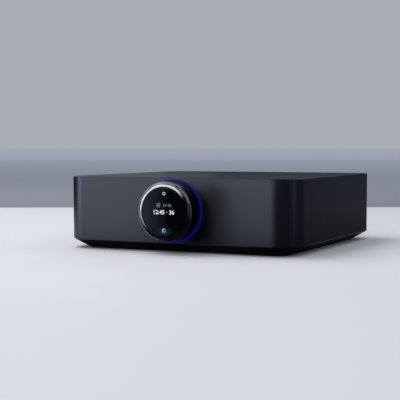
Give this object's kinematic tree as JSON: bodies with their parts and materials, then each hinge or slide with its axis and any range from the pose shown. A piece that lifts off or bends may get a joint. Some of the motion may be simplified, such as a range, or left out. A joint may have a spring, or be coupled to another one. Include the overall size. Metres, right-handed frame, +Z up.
{
  "type": "streaming amplifier",
  "caption": "Compact streaming amplifier: rounded metal case on a tapered black plinth, round display inside a turning volume ring, speaker posts and sockets behind.",
  "frame": {"origin": "middle of the whole object's box, on the surface that the feet stand on", "axes": "+X to the right seen from the front, +Y from the front to the back, along the longest extent with the volume ring and speaker posts, +Z up, along the shortest extent"},
  "size_m": [0.22, 0.252, 0.0641],
  "materials": {
    "shell": "fine bead-blasted anodised, dark slate grey",
    "plinth": "matt black",
    "rubber": "matt",
    "steel": "zinc plated",
    "black_steel": "black oxide",
    "panel": "fine texture",
    "light_guide": "frosted, lit blue",
    "board": "solder mask",
    "lamp": "clear, lit blue",
    "white_plastic": "plain",
    "hub": "machined",
    "ring": "satin anodised, near black",
    "bearing_steel": "ground and polished",
    "cage": "nylon",
    "magnet": "bonded ferrite",
    "black_plastic": "plain",
    "screen": "round touch display",
    "glass": "black printed cover glass",
    "gold": "gold plated",
    "tin": "tin plated",
    "cap_red": "red",
    "cap_black": "black",
    "phono_white": "white",
    "heatsink": "black anodised",
    "chip": "moulded",
    "ferrite": "ferrite",
    "can": "sleeved",
    "winding": "taped copper winding",
    "shield": "tin plated",
    "ribbon": "flat flexible cable"
  },
  "bodies": {
    "case": {"top_shell": "shell", "plinth": "plinth", "rubber_feet": "rubber", "chassis_screws": "steel", "rear_panel": "panel", "panel_brackets": "steel", "rear_fasteners": "black_steel", "light_ring": "light_guide", "lamp_board": "board", "ring_lamps": "lamp", "hub": "hub", "bearing_inner_race": "bearing_steel", "retaining_clip": "black_steel", "display_housing": "black_plastic", "display_screws": "steel", "display_panel": "screen", "cover_glass": "glass", "mains_inlet": "black_plastic", "inlet_pins": "tin", "post_cores": "gold", "post_collars": "black_plastic", "ethernet_socket": "tin", "flat_sockets": "tin", "socket_tongues": "black_plastic", "optical_socket": "black_plastic", "trigger_socket": "black_plastic", "button_switch": "black_plastic", "phono_blocks": "black_plastic", "phono_inserts": "phono_white", "phono_sleeves": "gold", "main_board": "board", "power_board": "board", "terminal_board": "board", "amplifier_chips": "chip", "amplifier_heatsink": "heatsink", "output_inductors": "ferrite", "radio_module": "shield", "antennas": "board", "storage_capacitors": "can", "transformer_core": "ferrite", "transformer_winding": "winding", "mains_filter": "black_plastic", "ribbon_cables": "ribbon", "board_connectors": "white_plastic"},
    "volume_dial": {"volume_ring": "ring", "ring_carrier": "hub", "bearing_outer_race": "bearing_steel", "encoder_magnet": "magnet"},
    "ball_cage": {"bearing_cage": "cage", "bearing_balls": "bearing_steel"},
    "shutter": {"optical_shutter": "black_plastic"},
    "button": {"pairing_button": "white_plastic"},
    "washer_right_positive": {"clamp_washer_right_positive": "gold"},
    "cap_right_positive": {"speaker_cap_right_positive": "cap_red"},
    "washer_right_negative": {"clamp_washer_right_negative": "gold"},
    "cap_right_negative": {"speaker_cap_right_negative": "cap_black"},
    "washer_left_positive": {"clamp_washer_left_positive": "gold"},
    "cap_left_positive": {"speaker_cap_left_positive": "cap_red"},
    "washer_left_negative": {"clamp_washer_left_negative": "gold"},
    "cap_left_negative": {"speaker_cap_left_negative": "cap_black"}
  },
  "joints": [
    {"name": "volume_turn", "type": "hinge", "parent": "case", "child": "volume_dial", "pos_m": [0, -0.116, 0.0361], "axis": [0, 1, 0], "continuous": true},
    {"name": "cage_turn", "type": "hinge", "parent": "case", "child": "ball_cage", "pos_m": [0, -0.116, 0.0361], "axis": [0, 1, 0], "continuous": true},
    {"name": "washer_slide_right_positive", "type": "slide", "parent": "case", "child": "washer_right_positive", "axis": [0, 1, 0], "range_m": [0, 0.005]},
    {"name": "cap_turn_right_positive", "type": "hinge", "parent": "washer_right_positive", "child": "cap_right_positive", "pos_m": [-0.015, 0.1148, 0.043], "axis": [0, 1, 0], "range_deg": [0, 1800]},
    {"name": "washer_slide_right_negative", "type": "slide", "parent": "case", "child": "washer_right_negative", "axis": [0, 1, 0], "range_m": [0, 0.005]},
    {"name": "cap_turn_right_negative", "type": "hinge", "parent": "washer_right_negative", "child": "cap_right_negative", "pos_m": [-0.034, 0.1148, 0.043], "axis": [0, 1, 0], "range_deg": [0, 1800]},
    {"name": "washer_slide_left_positive", "type": "slide", "parent": "case", "child": "washer_left_positive", "axis": [0, 1, 0], "range_m": [0, 0.005]},
    {"name": "cap_turn_left_positive", "type": "hinge", "parent": "washer_left_positive", "child": "cap_left_positive", "pos_m": [-0.053, 0.1148, 0.043], "axis": [0, 1, 0], "range_deg": [0, 1800]},
    {"name": "washer_slide_left_negative", "type": "slide", "parent": "case", "child": "washer_left_negative", "axis": [0, 1, 0], "range_m": [0, 0.005]},
    {"name": "cap_turn_left_negative", "type": "hinge", "parent": "washer_left_negative", "child": "cap_left_negative", "pos_m": [-0.072, 0.1148, 0.043], "axis": [0, 1, 0], "range_deg": [0, 1800]},
    {"name": "shutter_swing", "type": "hinge", "parent": "case", "child": "shutter", "pos_m": [-0.00339, 0.1047, 0.02225], "axis": [-1, 0, 0], "range_deg": [0, 88], "stiffness_Nm_per_rad": 0.0001, "springref_deg": -17.19},
    {"name": "button_press", "type": "slide", "parent": "case", "child": "button", "axis": [0, -1, 0], "range_m": [0, 0.0005], "stiffness_N_per_m": 300, "springref_m": -0.001}
  ],
  "couplings": [
    {"joint": "cage_turn", "follows": "volume_turn", "ratio": 0.54722},
    {"joint": "cap_turn_right_positive", "follows": "washer_slide_right_positive", "rad_per_m": 6283.2},
    {"joint": "cap_turn_right_negative", "follows": "washer_slide_right_negative", "rad_per_m": 6283.2},
    {"joint": "cap_turn_left_positive", "follows": "washer_slide_left_positive", "rad_per_m": 6283.2},
    {"joint": "cap_turn_left_negative", "follows": "washer_slide_left_negative", "rad_per_m": 6283.2}
  ]
}
